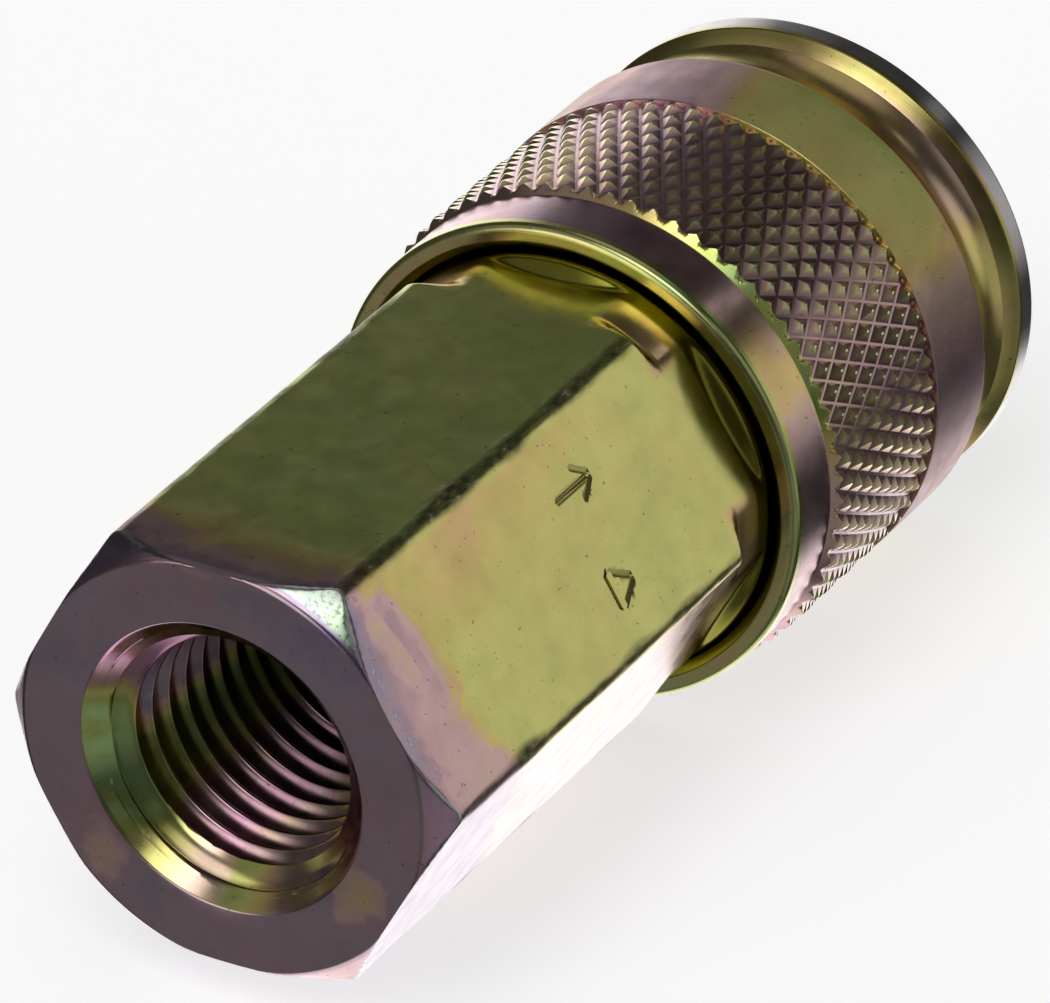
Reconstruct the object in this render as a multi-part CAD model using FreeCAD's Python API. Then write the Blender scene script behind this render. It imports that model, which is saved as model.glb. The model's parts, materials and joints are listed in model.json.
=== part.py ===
# Quick disconnect coupler: a 1/4 inch air-line socket with a hexagonal, internally threaded body,
# a knurled pull-back sleeve, six locking balls and a spring-loaded shut-off valve.
#
# Frame: millimetres. The origin is the centre of the threaded rear face, +X runs along the
# coupler's axis towards the mouth that takes the plug, and +Z is the outward normal of one hex flat.
# Every station named X_... is a distance along +X, and every R_... is a radius about the axis.

import FreeCAD, Part
import math
import os

Vector = FreeCAD.Vector
ORIGIN = Vector(0, 0, 0)
AXIS = Vector(1, 0, 0)
FULL_TURN = 360.0

# ---- driving dimensions -------------------------------------------------------------------------
HEX_ACROSS_FLATS = 20.64          # 13/16 inch wrench size
R_HEX_FLAT = HEX_ACROSS_FLATS / 2
R_HEX_CORNER = R_HEX_FLAT / math.cos(math.pi / 6)

R_REAR_FACE = 10.5                # edge of the turned rear face
X_CORNER_END = 27.55              # where the hex corners are turned away
R_COLLAR = 11.0                   # turned collar that the sleeve slides over
X_FLAT_END = 29.65                # where each flat starts to run out
X_COLLAR_START = 30.45            # where the run-out reaches the collar's full radius
X_BODY_FRONT = 33.4

R_THREAD_MINOR = 5.6              # 1/4-18 NPT, modelled at its minor radius
R_THREAD_MOUTH = 7.42
X_THREAD_END = 14.5
R_PASSAGE = 4.5
X_COUNTERBORE = 19.6              # shoulder that the body gasket seals on
R_COUNTERBORE = 8.4

GASKET_THICKNESS = 1.0
X_BARREL_REAR = X_COUNTERBORE + GASKET_THICKNESS
X_BARREL_FRONT = 55.6
R_BARREL = 9.0
R_CHAMBER = 6.9
X_SEAT = 37.5
R_SEAT_BORE = 4.3
X_GLAND = 41.9
X_GLAND_FRONT = 44.4
R_GLAND = 6.0
R_LIP = 4.5
X_PLUG_BORE = 45.2
R_PLUG_BORE = 6.0
X_LEAD_IN = 50.6
R_LEAD_IN = 6.35
X_MOUTH_CHAMFER = 55.0
R_MOUTH = 7.2

X_BALLS = 47.9
BALL_COUNT = 6
R_BALL = 1.984                    # 5/32 inch ball
R_BALL_CENTRE = 7.03              # locked position
R_BALL_HOLE = 2.03
R_BALL_SEAT = 1.75                # hole's mouth on the plug bore, smaller than the ball
SEAT_DEPTH = 0.6

SLEEVE_TRAVEL = 3.0
SLEEVE_FIT = 0.07                 # running clearance of the sleeve on the barrel
R_SLEEVE_LAND = R_BARREL + SLEEVE_FIT
R_SLEEVE_BORE = 11.4
R_RIM_CHAMFER = 11.9
R_RELEASE_GROOVE = 10.15
BALL_RAMP = 1.0 / 3.0             # radial rise of the release ramp per millimetre of sleeve travel
R_FLANGE_BORE = 10.9
X_SLEEVE_REAR = 31.65
X_SLEEVE_SHOULDER = 44.0
X_RAMP = 47.555
X_GROOVE_FRONT = 52.75
X_LAND_FRONT = 53.6
X_SLEEVE_FRONT = 55.8

R_REAR_BAND = 12.55
X_KNURL_REAR = 35.4
X_KNURL_BEVEL = 35.0
R_GRIP = 13.0
X_GRIP_FRONT = 50.0
R_FINGER_GROOVE = 11.8
R_FLANGE_ROOT = 12.0
X_FLANGE_ROOT = 53.85
R_FLANGE = 12.65
X_FLANGE_REAR = 54.4

RETAINER_WIRE = 0.7               # wire radius of the front retaining ring
R_RETAINER = 9.25
X_RETAINER = 54.35
RETAINER_GAP = 12.0               # degrees left open in the ring

SLEEVE_WIRE = 1.1
R_SLEEVE_COIL = 10.2
SLEEVE_COILS = 4
VALVE_WIRE = 0.8
R_VALVE_COIL = 4.4
VALVE_COILS = 6.5

X_CLIP = 21.25
CLIP_THICKNESS = 0.8
CLIP_GROOVE = 0.9
CLIP_GAP = 44.0                   # degrees left open in the clip
X_GUIDE = 22.1
GUIDE_THICKNESS = 1.5
GUIDE_SPOKES = 4
R_STEM = 1.8
STEM_FIT = 0.05
R_POPPET = 6.2
X_POPPET = 34.6
POPPET_THICKNESS = 1.9
SEAL_THICKNESS = 1.0
R_NOSE = 3.4
X_NOSE = 41.5


# ---- construction helpers -----------------------------------------------------------------------
def turned(outline):
    """Solid of revolution about the X axis from (station, radius) points."""
    points = [Vector(x, r, 0) for x, r in outline]
    wire = Part.makePolygon(points + points[:1])
    return Part.Face(wire).revolve(ORIGIN, AXIS, FULL_TURN)


def ring(x_start, x_end, r_inner, r_outer):
    """Plain ring with its axis on X."""
    return turned([(x_start, r_inner), (x_end, r_inner), (x_end, r_outer), (x_start, r_outer)])


def rod(x_start, x_end, radius):
    """Plain cylinder with its axis on X."""
    return Part.makeCylinder(radius, x_end - x_start, Vector(x_start, 0, 0), AXIS)


def turned_about_axis(shape, degrees):
    """Copy of a shape, turned about the X axis."""
    copy = shape.copy()
    copy.rotate(ORIGIN, AXIS, degrees)
    return copy


def ring_gap(x_start, x_end, reach, degrees):
    """Wedge centred on +Z that opens a split ring."""
    half = math.radians(degrees / 2)
    side = reach * math.tan(half)
    corners = [Vector(x_start, 0, 0), Vector(x_start, side, reach), Vector(x_start, -side, reach)]
    face = Part.Face(Part.makePolygon(corners + corners[:1]))
    return face.extrude(Vector(x_end - x_start, 0, 0))


def coil_spring(x_start, x_end, coils, r_coil, wire):
    """Round-wire helical compression spring between two stations."""
    r_wire = wire / 2
    length = x_end - x_start - wire
    path = Part.makeHelix(length / coils, length, r_coil)
    section = Part.Wire(Part.makeCircle(r_wire, Vector(r_coil, 0, 0), Vector(0, 1, 0)))
    spring = Part.Wire(path.Edges).makePipeShell([section], True, True)
    spring.rotate(ORIGIN, Vector(0, 1, 0), 90)
    spring.translate(Vector(x_start + r_wire, 0, 0))
    return spring


def hex_prism(x_start, x_end):
    """Hexagonal bar with one pair of flats facing +Z and -Z."""
    corners = []
    for k in range(6):
        angle = math.radians(60 * k)
        corners.append(Vector(x_start, R_HEX_CORNER * math.cos(angle), R_HEX_CORNER * math.sin(angle)))
    face = Part.Face(Part.makePolygon(corners + corners[:1]))
    return face.extrude(Vector(x_end - x_start, 0, 0))


# ---- body side ----------------------------------------------------------------------------------
def hex_body():
    rear_chamfer = R_HEX_CORNER - R_REAR_FACE + 0.05
    r_stock = R_REAR_FACE + rear_chamfer
    corner_drop = R_HEX_CORNER - R_COLLAR
    envelope = turned([
        (0, 0), (0, R_REAR_FACE), (rear_chamfer, r_stock), (X_CORNER_END, r_stock),
        (X_CORNER_END, R_HEX_CORNER), (X_CORNER_END + corner_drop, R_COLLAR),
        (X_BODY_FRONT, R_COLLAR), (X_BODY_FRONT, 0),
    ])
    run_out = (R_COLLAR - R_HEX_FLAT) / (X_COLLAR_START - X_FLAT_END)
    x_cone = X_FLAT_END - 1.0
    collar = turned([
        (x_cone, 0), (x_cone, R_HEX_FLAT - run_out), (X_COLLAR_START, R_COLLAR),
        (X_BODY_FRONT, R_COLLAR), (X_BODY_FRONT, 0),
    ])
    blank = hex_prism(0, X_COLLAR_START).fuse(collar).common(envelope)
    countersink = R_THREAD_MOUTH - R_THREAD_MINOR
    drill_point = R_THREAD_MINOR - R_PASSAGE
    bore = turned([
        (0, 0), (0, R_THREAD_MOUTH), (countersink, R_THREAD_MINOR), (X_THREAD_END, R_THREAD_MINOR),
        (X_THREAD_END + drill_point, R_PASSAGE), (X_COUNTERBORE, R_PASSAGE),
        (X_COUNTERBORE, R_COUNTERBORE), (X_BODY_FRONT, R_COUNTERBORE), (X_BODY_FRONT, 0),
    ])
    return blank.cut(bore).removeSplitter()


def body_gasket():
    return ring(X_COUNTERBORE, X_BARREL_REAR, 6.6, R_COUNTERBORE - 0.05)


def ball_hole(degrees):
    """Radial hole through the barrel wall, narrowed at its inner end so that a ball cannot fall in."""
    seat = Part.makeCone(R_BALL_SEAT, R_BALL_HOLE, SEAT_DEPTH, Vector(X_BALLS, 0, R_PLUG_BORE), Vector(0, 0, 1))
    throat = Part.makeCylinder(R_BALL_SEAT, 1.0, Vector(X_BALLS, 0, R_PLUG_BORE - 1.0), Vector(0, 0, 1))
    shank = Part.makeCylinder(R_BALL_HOLE, R_BARREL, Vector(X_BALLS, 0, R_PLUG_BORE + SEAT_DEPTH), Vector(0, 0, 1))
    return turned_about_axis(seat.fuse([throat, shank]), degrees)


def barrel():
    r_spigot = R_COUNTERBORE - 0.02
    r_clip_groove = R_CHAMBER + 0.5
    r_ring_groove = R_RETAINER - RETAINER_WIRE - 0.02
    x_ring_rear = X_RETAINER - RETAINER_WIRE
    x_ring_front = X_RETAINER + RETAINER_WIRE
    blank = turned([
        (X_BARREL_REAR, R_CHAMBER), (X_CLIP, R_CHAMBER), (X_CLIP, r_clip_groove),
        (X_CLIP + CLIP_GROOVE, r_clip_groove), (X_CLIP + CLIP_GROOVE, R_CHAMBER),
        (X_SEAT, R_CHAMBER), (X_SEAT, R_SEAT_BORE), (X_GLAND, R_SEAT_BORE), (X_GLAND, R_GLAND),
        (X_GLAND_FRONT, R_GLAND), (X_GLAND_FRONT, R_LIP), (X_PLUG_BORE, R_LIP),
        (X_PLUG_BORE, R_PLUG_BORE), (X_LEAD_IN, R_PLUG_BORE), (X_LEAD_IN, R_LEAD_IN),
        (X_MOUTH_CHAMFER, R_LEAD_IN), (X_BARREL_FRONT, R_MOUTH), (X_BARREL_FRONT, R_BARREL - 0.3),
        (X_BARREL_FRONT - 0.3, R_BARREL), (x_ring_front, R_BARREL), (x_ring_front, r_ring_groove),
        (x_ring_rear, r_ring_groove), (x_ring_rear, R_BARREL), (X_BODY_FRONT, R_BARREL),
        (X_BODY_FRONT, r_spigot), (X_BARREL_REAR, r_spigot),
    ])
    holes = [ball_hole(k * FULL_TURN / BALL_COUNT) for k in range(BALL_COUNT)]
    return blank.cut(holes)


def retaining_ring():
    torus = Part.makeTorus(R_RETAINER, RETAINER_WIRE - 0.02, Vector(X_RETAINER, 0, 0), AXIS)
    gap = ring_gap(X_RETAINER - 1, X_RETAINER + 1, 2 * R_RETAINER, RETAINER_GAP)
    return torus.cut(gap)


def plug_seal():
    r_wire = (X_GLAND_FRONT - X_GLAND - 0.5) / 2 - 0.02
    x_centre = X_GLAND_FRONT - r_wire - 0.02
    return Part.makeTorus(R_GLAND - r_wire - 0.02, r_wire, Vector(x_centre, 0, 0), AXIS)


def plug_seal_backup_ring():
    return ring(X_GLAND + 0.04, X_GLAND + 0.38, R_LIP, R_GLAND - 0.04)


# ---- sleeve side --------------------------------------------------------------------------------
def finger_groove():
    """Concave ring cut between the grip and the front flange."""
    x_middle = (X_GRIP_FRONT + X_FLANGE_ROOT) / 2
    start = Vector(X_GRIP_FRONT, R_GRIP, 0)
    end = Vector(X_FLANGE_ROOT, R_FLANGE_ROOT, 0)
    hollow = Part.Arc(start, Vector(x_middle, R_FINGER_GROOVE, 0), end).toShape()
    above = [end, Vector(X_FLANGE_REAR, R_FLANGE, 0), Vector(X_FLANGE_REAR, R_GRIP + 1, 0),
             Vector(X_GRIP_FRONT, R_GRIP + 1, 0), start]
    edges = [hollow] + Part.makePolygon(above).Edges
    return Part.Face(Part.Wire(edges)).revolve(ORIGIN, AXIS, FULL_TURN)


def sleeve():
    rim_chamfer = R_RIM_CHAMFER - R_SLEEVE_BORE
    x_groove_rear = X_RAMP + (R_RELEASE_GROOVE - R_SLEEVE_LAND) / BALL_RAMP
    blank = turned([
        (X_SLEEVE_REAR, R_RIM_CHAMFER), (X_SLEEVE_REAR, R_REAR_BAND - 0.3),
        (X_SLEEVE_REAR + 0.3, R_REAR_BAND), (X_KNURL_BEVEL, R_REAR_BAND), (X_KNURL_REAR, R_GRIP),
        (X_FLANGE_REAR, R_GRIP), (X_FLANGE_REAR, R_FLANGE), (X_SLEEVE_FRONT - 0.2, R_FLANGE),
        (X_SLEEVE_FRONT, R_FLANGE - 0.2), (X_SLEEVE_FRONT, R_FLANGE_BORE),
        (X_LAND_FRONT, R_FLANGE_BORE), (X_LAND_FRONT, R_SLEEVE_LAND),
        (X_GROOVE_FRONT, R_SLEEVE_LAND), (X_GROOVE_FRONT, R_RELEASE_GROOVE),
        (x_groove_rear, R_RELEASE_GROOVE), (X_RAMP, R_SLEEVE_LAND),
        (X_SLEEVE_SHOULDER, R_SLEEVE_LAND), (X_SLEEVE_SHOULDER, R_SLEEVE_BORE),
        (X_SLEEVE_REAR + rim_chamfer, R_SLEEVE_BORE),
    ])
    return blank.cut(finger_groove()).removeSplitter()


def spring_washer():
    return ring(X_SLEEVE_SHOULDER - 0.85, X_SLEEVE_SHOULDER - 0.05, R_BARREL + 0.15, R_SLEEVE_BORE - 0.2)


def sleeve_spring():
    return coil_spring(X_BODY_FRONT, X_SLEEVE_SHOULDER - 0.85, SLEEVE_COILS, R_SLEEVE_COIL, SLEEVE_WIRE)


def lock_ball(degrees):
    ball = Part.makeSphere(R_BALL, Vector(X_BALLS, 0, R_BALL_CENTRE))
    return turned_about_axis(ball, degrees)


# ---- shut-off valve -----------------------------------------------------------------------------
def valve_poppet():
    x_seal_face = X_POPPET + POPPET_THICKNESS
    x_rear = X_CLIP - CLIP_THICKNESS
    head = rod(X_POPPET, x_seal_face, R_POPPET)
    stem = rod(x_rear, X_POPPET, R_STEM)
    nose = rod(x_seal_face, X_NOSE, R_NOSE)
    hollow = rod(X_SEAT + 0.5, X_NOSE, R_NOSE - 1.2)
    body = head.fuse([stem, nose]).cut(hollow)
    slot_width = 1.4
    slot_rear = X_NOSE - 2.4
    slot = Part.makeBox(X_NOSE - slot_rear, 2 * R_NOSE, slot_width,
                        Vector(slot_rear, -R_NOSE, -slot_width / 2))
    return body.cut([slot, turned_about_axis(slot, 90)])


def valve_seal():
    x_seal_face = X_POPPET + POPPET_THICKNESS
    return ring(x_seal_face, x_seal_face + SEAL_THICKNESS - 0.02, R_NOSE + 0.03, R_POPPET - 0.3)


def valve_seal_retainer():
    return ring(X_SEAT, X_SEAT + 0.8, R_NOSE + 0.02, R_SEAT_BORE - 0.2)


def valve_guide():
    r_hub = 3.0
    r_window = 5.7
    spoke_width = 1.8
    x_front = X_GUIDE + GUIDE_THICKNESS
    rim = ring(X_GUIDE, x_front, r_window, R_CHAMBER - 0.05)
    hub = rod(X_GUIDE, x_front, r_hub)
    spoke = Part.makeBox(GUIDE_THICKNESS, spoke_width, r_window + 0.3,
                         Vector(X_GUIDE, -spoke_width / 2, 0))
    spokes = [turned_about_axis(spoke, k * FULL_TURN / GUIDE_SPOKES) for k in range(GUIDE_SPOKES)]
    bore = rod(X_GUIDE - 1, x_front + 1, R_STEM + STEM_FIT)
    return rim.fuse([hub] + spokes).cut(bore).removeSplitter()


def guide_clip():
    r_inner = 6.1
    r_lug = 0.95
    lug_angle = math.radians(CLIP_GAP / 2 + 8)
    clip = ring(X_CLIP + 0.05, X_CLIP + CLIP_THICKNESS, r_inner, R_CHAMBER + 0.45)
    clip = clip.cut(ring_gap(X_CLIP - 1, X_CLIP + 2, 2 * R_CHAMBER, CLIP_GAP))
    for side in (-1, 1):
        x_lug = X_CLIP + 0.05
        thickness = CLIP_THICKNESS - 0.05
        centre = Vector(x_lug, side * r_inner * math.sin(lug_angle), r_inner * math.cos(lug_angle))
        clip = clip.fuse(Part.makeCylinder(r_lug, thickness, centre, AXIS))
        clip = clip.cut(Part.makeCylinder(r_lug / 2, thickness, centre, AXIS))
    return clip.removeSplitter()


def valve_spring():
    return coil_spring(X_GUIDE + GUIDE_THICKNESS, X_POPPET, VALVE_COILS, R_VALVE_COIL, VALVE_WIRE)


# ---- export -------------------------------------------------------------------------------------
NODES = {
    "hex_body": hex_body,
    "body_gasket": body_gasket,
    "barrel": barrel,
    "retaining_ring": retaining_ring,
    "plug_seal": plug_seal,
    "plug_seal_backup_ring": plug_seal_backup_ring,
    "sleeve": sleeve,
    "spring_washer": spring_washer,
    "sleeve_spring": sleeve_spring,
    "valve_poppet": valve_poppet,
    "valve_seal": valve_seal,
    "valve_seal_retainer": valve_seal_retainer,
    "valve_spring": valve_spring,
    "valve_guide": valve_guide,
    "guide_clip": guide_clip,
}

os.makedirs("parts", exist_ok=True)
for name, build in NODES.items():
    shape = build()
    shape.exportStep(f"parts/{name}.step")
    print(f"{name:24s} solids {len(shape.Solids)} volume {shape.Volume:9.2f} valid {shape.isValid()}")

for number in range(BALL_COUNT):
    lock_ball(number * FULL_TURN / BALL_COUNT).exportStep(f"parts/lock_ball_{number + 1}.step")
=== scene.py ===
import functools
import json
import math
import random

import bmesh
import bpy
import numpy as np
from mathutils import Matrix, Vector, noise


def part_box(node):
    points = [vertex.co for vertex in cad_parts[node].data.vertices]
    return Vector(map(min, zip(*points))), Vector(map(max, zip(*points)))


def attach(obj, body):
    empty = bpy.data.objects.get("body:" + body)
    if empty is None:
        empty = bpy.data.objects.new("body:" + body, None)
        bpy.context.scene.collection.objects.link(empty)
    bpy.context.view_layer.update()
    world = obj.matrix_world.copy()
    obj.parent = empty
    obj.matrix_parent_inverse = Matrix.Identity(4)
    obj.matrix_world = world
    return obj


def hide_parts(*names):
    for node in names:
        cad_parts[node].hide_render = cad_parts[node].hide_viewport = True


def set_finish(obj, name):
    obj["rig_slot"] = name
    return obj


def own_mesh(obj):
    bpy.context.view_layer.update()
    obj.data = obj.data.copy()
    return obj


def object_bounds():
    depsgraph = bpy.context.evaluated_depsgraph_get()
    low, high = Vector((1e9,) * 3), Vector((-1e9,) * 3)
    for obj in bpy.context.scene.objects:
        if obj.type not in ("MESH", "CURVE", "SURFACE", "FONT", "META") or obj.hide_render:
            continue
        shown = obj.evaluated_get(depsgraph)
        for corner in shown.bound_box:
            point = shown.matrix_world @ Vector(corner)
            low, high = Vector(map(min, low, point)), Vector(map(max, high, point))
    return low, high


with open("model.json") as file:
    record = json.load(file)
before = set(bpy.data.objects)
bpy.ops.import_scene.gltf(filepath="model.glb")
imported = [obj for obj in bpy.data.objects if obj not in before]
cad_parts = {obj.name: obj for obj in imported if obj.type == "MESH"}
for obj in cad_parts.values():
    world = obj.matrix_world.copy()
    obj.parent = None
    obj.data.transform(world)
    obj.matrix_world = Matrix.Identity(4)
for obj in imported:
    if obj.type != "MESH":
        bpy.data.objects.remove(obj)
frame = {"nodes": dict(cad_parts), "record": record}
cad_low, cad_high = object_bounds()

MM = 0.001
TURN = 2 * math.pi

# ---- driving dimensions, as in the CAD model ------------------------------------------------------
R_FLAT = 10.32
R_CORNER = R_FLAT / math.cos(math.pi / 6)
R_CORNER_ROUND = 0.8
R_REAR_FACE = 10.5
R_COLLAR = 11.0
X_CORNER_END = 27.55
X_FLAT_END = 30.9
RUN_OUT_SLOPE = 1.1
X_BODY_FRONT = 33.4

THREAD_PITCH = 25.4 / 18
R_THREAD_MOUTH = 7.42
R_THREAD_CREST = 5.72
THREAD_DEPTH = 1.02
THREAD_TAPER = 1 / 32
X_THREAD_START = 0.57
X_THREAD_END = 14.5
R_PASSAGE = 4.5
X_COUNTERBORE = 19.6
R_COUNTERBORE = 8.4

X_MARK = 19.0
MARK_DEPTH = 0.11
MARK_WIDTH = 0.38

X_SLEEVE_REAR = 31.65
X_SLEEVE_FRONT = 55.8
X_SHOULDER = 44.0
R_REAR_BAND = 12.55
R_SLEEVE_BORE = 11.25
RIM_CHAMFER = 0.45
R_GRIP = 13.0
X_KNURL_BEVEL = 35.0
X_KNURL_FRONT = 45.1
KNURL_TEETH = 68
KNURL_DEPTH = 0.27
KNURL_ANGLE = math.radians(30)
BEVEL_SLOPE = 0.85
BEVEL_LENGTH = 0.6
X_GRIP_FRONT = 50.0
R_FINGER_GROOVE = 11.8
X_FLANGE_ROOT = 53.85
R_FLANGE_ROOT = 12.0
X_FLANGE_REAR = 54.4
R_FLANGE = 12.65
X_RELEASE_REAR = 47.555
X_RELEASE_FRONT = 50.79
R_RELEASE = 10.15
X_RELEASE_END = 52.75
R_RUNNING_BORE = 9.07
X_RING_SEAT = 53.6
R_RING_SEAT = 10.9

X_BARREL_REAR = 20.6
X_BARREL_FRONT = 55.6
R_BARREL = 9.0
R_CHAMBER = 6.9
X_CLIP = 21.25
CLIP_GROOVE = 0.9
X_SEAT = 37.5
R_SEAT_BORE = 4.3
X_GLAND = 41.9
X_GLAND_FRONT = 44.4
R_GLAND = 6.0
R_LIP = 4.5
X_PLUG_BORE = 45.2
R_PLUG_BORE = 6.0
X_LEAD_IN = 50.6
R_LEAD_IN = 6.35
X_MOUTH_CHAMFER = 55.0
R_MOUTH = 7.2
X_BALLS = 47.9
BALLS = 6
R_BALL_HOLE = 2.03
R_BALL_SEAT = 1.75
SEAT_DEPTH = 0.6

X_RETAINER = 54.35
R_RETAINER = 9.25
R_RETAINER_WIRE = 0.68
RETAINER_GAP = math.radians(12)
R_SEAL_WIRE = 0.98
R_SEAL = R_GLAND - R_SEAL_WIRE - 0.02
X_SEAL = X_GLAND_FRONT - R_SEAL_WIRE - 0.02

X_WASHER = 43.15
X_GUIDE_FRONT = 23.6
X_STEM_REAR = 20.45
R_STEM = 1.8
X_POPPET = 34.6
X_POPPET_FACE = 36.5
R_POPPET = 6.2
R_NOSE = 3.4
X_NOSE = 41.5
NOSE_SLOT = 1.4


# ---- mesh helpers ---------------------------------------------------------------------------------
class Sheet:
    """Vertices and faces collected ring by ring; every ring runs once round the X axis."""

    def __init__(self):
        self.points = []
        self.faces = []
        self.wear = []

    def ring(self, x, r, angles, wear=0.0):
        """Adds a ring and returns the numbers of its vertices. x, r and wear may be numbers or arrays."""
        count = len(angles)
        x = np.broadcast_to(np.asarray(x, float), count)
        r = np.broadcast_to(np.asarray(r, float), count)
        start = len(self.points)
        self.points.extend(zip(x, r * np.cos(angles), r * np.sin(angles)))
        self.wear.extend(np.broadcast_to(np.asarray(wear, float), count))
        return list(range(start, start + count))

    def join(self, a, b):
        """Quads between two rings of the same count."""
        n = len(a)
        for k in range(n):
            m = (k + 1) % n
            self.faces.append((a[k], a[m], b[m], b[k]))

    def stitch(self, a, angles_a, b, angles_b):
        """Triangles between two rings of different counts, advanced by angle."""
        i = j = 0
        na, nb = len(a), len(b)
        while i < na or j < nb:
            next_a = angles_a[i + 1] if i + 1 < na else angles_a[0] + TURN if i < na else 1e9
            next_b = angles_b[j + 1] if j + 1 < nb else angles_b[0] + TURN if j < nb else 1e9
            if next_a <= next_b:
                self.faces.append((a[i % na], a[(i + 1) % na], b[j % nb]))
                i += 1
            else:
                self.faces.append((a[i % na], b[(j + 1) % nb], b[j % nb]))
                j += 1

    def object(self, name, smooth_angle=32):
        mesh = bpy.data.meshes.new(name)
        points = [(x * MM, y * MM, z * MM) for x, y, z in self.points]
        mesh.from_pydata(points, [], self.faces)
        attribute = mesh.attributes.new("wear", "FLOAT", "POINT")
        attribute.data.foreach_set("value", self.wear)
        return finished(name, mesh, smooth_angle)


def finished(name, mesh, smooth_angle=32):
    """Welds a mesh, turns its faces outwards, sets its shading and links it."""
    bm = bmesh.new()
    bm.from_mesh(mesh)
    bmesh.ops.remove_doubles(bm, verts=bm.verts, dist=0.0008 * MM)
    bmesh.ops.dissolve_degenerate(bm, edges=bm.edges, dist=0.0002 * MM)
    bmesh.ops.recalc_face_normals(bm, faces=bm.faces)
    bm.to_mesh(mesh)
    bm.free()
    mesh.shade_smooth()
    mesh.set_sharp_from_angle(angle=math.radians(smooth_angle))
    piece = bpy.data.objects.new(name, mesh)
    bpy.context.scene.collection.objects.link(piece)
    return piece


def softened(outline, radius=0.08, steps=4, support=0.05):
    """Rounds every corner of a closed (x, r) outline, with support points that keep the flats flat.

    A point may carry its own corner radius as a third number."""
    points = []
    count = len(outline)
    for k in range(count):
        here = np.array(outline[k][:2], float)
        before = np.array(outline[k - 1][:2], float)
        after = np.array(outline[(k + 1) % count][:2], float)
        own_radius = outline[k][2] if len(outline[k]) > 2 else radius
        to_before, to_after = before - here, after - here
        len_before, len_after = np.linalg.norm(to_before), np.linalg.norm(to_after)
        if here[1] < 1e-6 or min(len_before, len_after) < 1e-6:
            points.append(tuple(here))
            continue
        to_before, to_after = to_before / len_before, to_after / len_after
        opening = math.acos(np.clip(np.dot(to_before, to_after), -1, 1))
        turn = math.pi - opening
        if turn < math.radians(12):
            points.append(tuple(here))
            continue
        reach = min(own_radius * math.tan(turn / 2), 0.45 * len_before, 0.45 * len_after)
        arc_radius = reach / math.tan(turn / 2)
        middle = (to_before + to_after) / np.linalg.norm(to_before + to_after)
        centre = here + middle * arc_radius / math.sin(opening / 2)
        start, end = here + to_before * reach, here + to_after * reach
        if len_before - reach > 3 * support:
            points.append(tuple(start + to_before * support))
        angle_start = math.atan2(*(start - centre)[::-1])
        sweep = (math.atan2(*(end - centre)[::-1]) - angle_start + math.pi) % TURN - math.pi
        for s in range(steps + 1):
            a = angle_start + sweep * s / steps
            points.append((centre[0] + arc_radius * math.cos(a), centre[1] + arc_radius * math.sin(a)))
        if len_after - reach > 3 * support:
            points.append(tuple(end + to_after * support))
    return points


def lathe(name, outline, segments=192, radius=0.08):
    """Closed solid of revolution about X with softened edges."""
    angles = np.linspace(0, TURN, segments, endpoint=False)
    sheet = Sheet()
    points = softened(outline, radius)
    rings = [sheet.ring(x, r, angles) for x, r in points]
    for k in range(len(rings)):
        on_axis = points[k - 1][1] < 1e-6 and points[k][1] < 1e-6
        if not on_axis:
            sheet.join(rings[k - 1], rings[k])
    return sheet.object(name)


def cut(piece, cutters):
    """Takes solid cutters away from a piece and removes them."""
    for cutter in cutters:
        tool = piece.modifiers.new("cut", "BOOLEAN")
        tool.operation = "DIFFERENCE"
        tool.solver = "EXACT"
        tool.object = cutter
    graph = bpy.context.evaluated_depsgraph_get()
    mesh = bpy.data.meshes.new_from_object(piece.evaluated_get(graph))
    piece.modifiers.clear()
    piece.data = mesh
    mesh.set_sharp_from_angle(angle=math.radians(32))
    for cutter in cutters:
        bpy.data.objects.remove(cutter)
    return piece


def place(piece, body, slot, *nodes):
    """Puts a finished piece on its body in place of the CAD nodes that it stands for."""
    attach(piece, body)
    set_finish(piece, slot)
    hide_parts(*nodes)
    return piece


# ---- hex body -------------------------------------------------------------------------------------
def smooth_min(a, b, width):
    """Smaller of two values, with a rounded changeover of the given width."""
    h = np.clip(0.5 + 0.5 * (b - a) / width, 0, 1)
    return b * (1 - h) + a * h - width * h * (1 - h)


def smooth_max(a, b, width):
    """Larger of two values, with a rounded changeover."""
    return -smooth_min(-a, -b, width)


def hex_radius(angles):
    """Radius of the rounded hexagon, with a corner at angle 0."""
    off_corner = np.abs((angles + math.pi / 6) % (math.pi / 3) - math.pi / 6)
    flat = R_FLAT / np.cos(math.pi / 6 - off_corner)
    centre = (R_FLAT - R_CORNER_ROUND) / math.cos(math.pi / 6)
    inside = np.maximum(R_CORNER_ROUND ** 2 - (centre * np.sin(off_corner)) ** 2, 0)
    rounded = centre * np.cos(off_corner) + np.sqrt(inside)
    tangent = (R_FLAT - R_CORNER_ROUND) * math.tan(math.pi / 6)
    tangent_angle = math.pi / 6 - math.atan2(tangent, R_FLAT)
    return np.where(off_corner < tangent_angle, rounded, flat), off_corner, tangent_angle


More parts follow.
